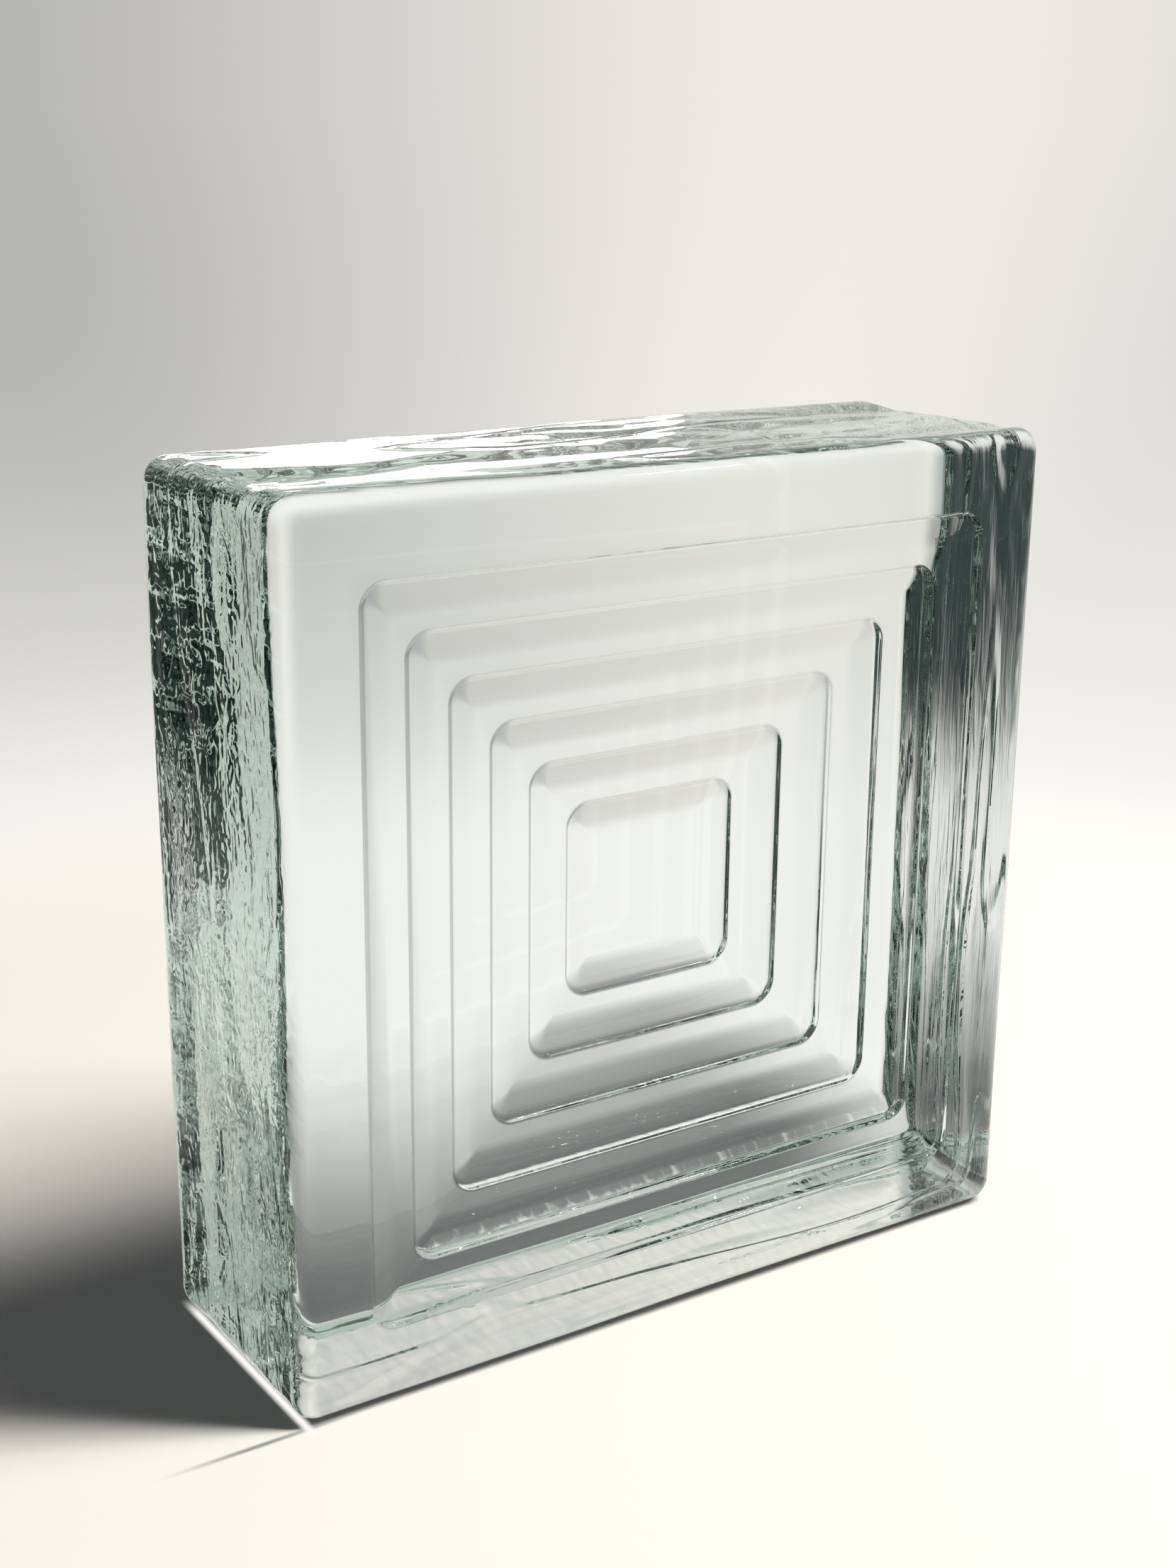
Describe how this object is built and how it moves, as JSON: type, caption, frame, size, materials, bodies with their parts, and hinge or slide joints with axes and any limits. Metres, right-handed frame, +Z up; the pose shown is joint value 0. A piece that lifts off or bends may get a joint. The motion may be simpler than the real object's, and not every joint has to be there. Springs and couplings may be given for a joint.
{
  "type": "glass block",
  "caption": "Solid cast glass building block, square-faced, with a pressed recess of nested square steps in its front face and softly rounded edges.",
  "frame": {"origin": "middle of the footprint, on the face that the block stands on", "axes": "+Z up the front face, -Y out of the front face with the recess, +X to the right as the front face is seen"},
  "size_m": [0.2, 0.065, 0.2],
  "materials": {
    "glass": "clear cast glass with a faint green tint, flame-polished, slightly wavy on the narrow sides"
  },
  "bodies": {
    "root": {"glass_block": "glass"}
  },
  "joints": []
}
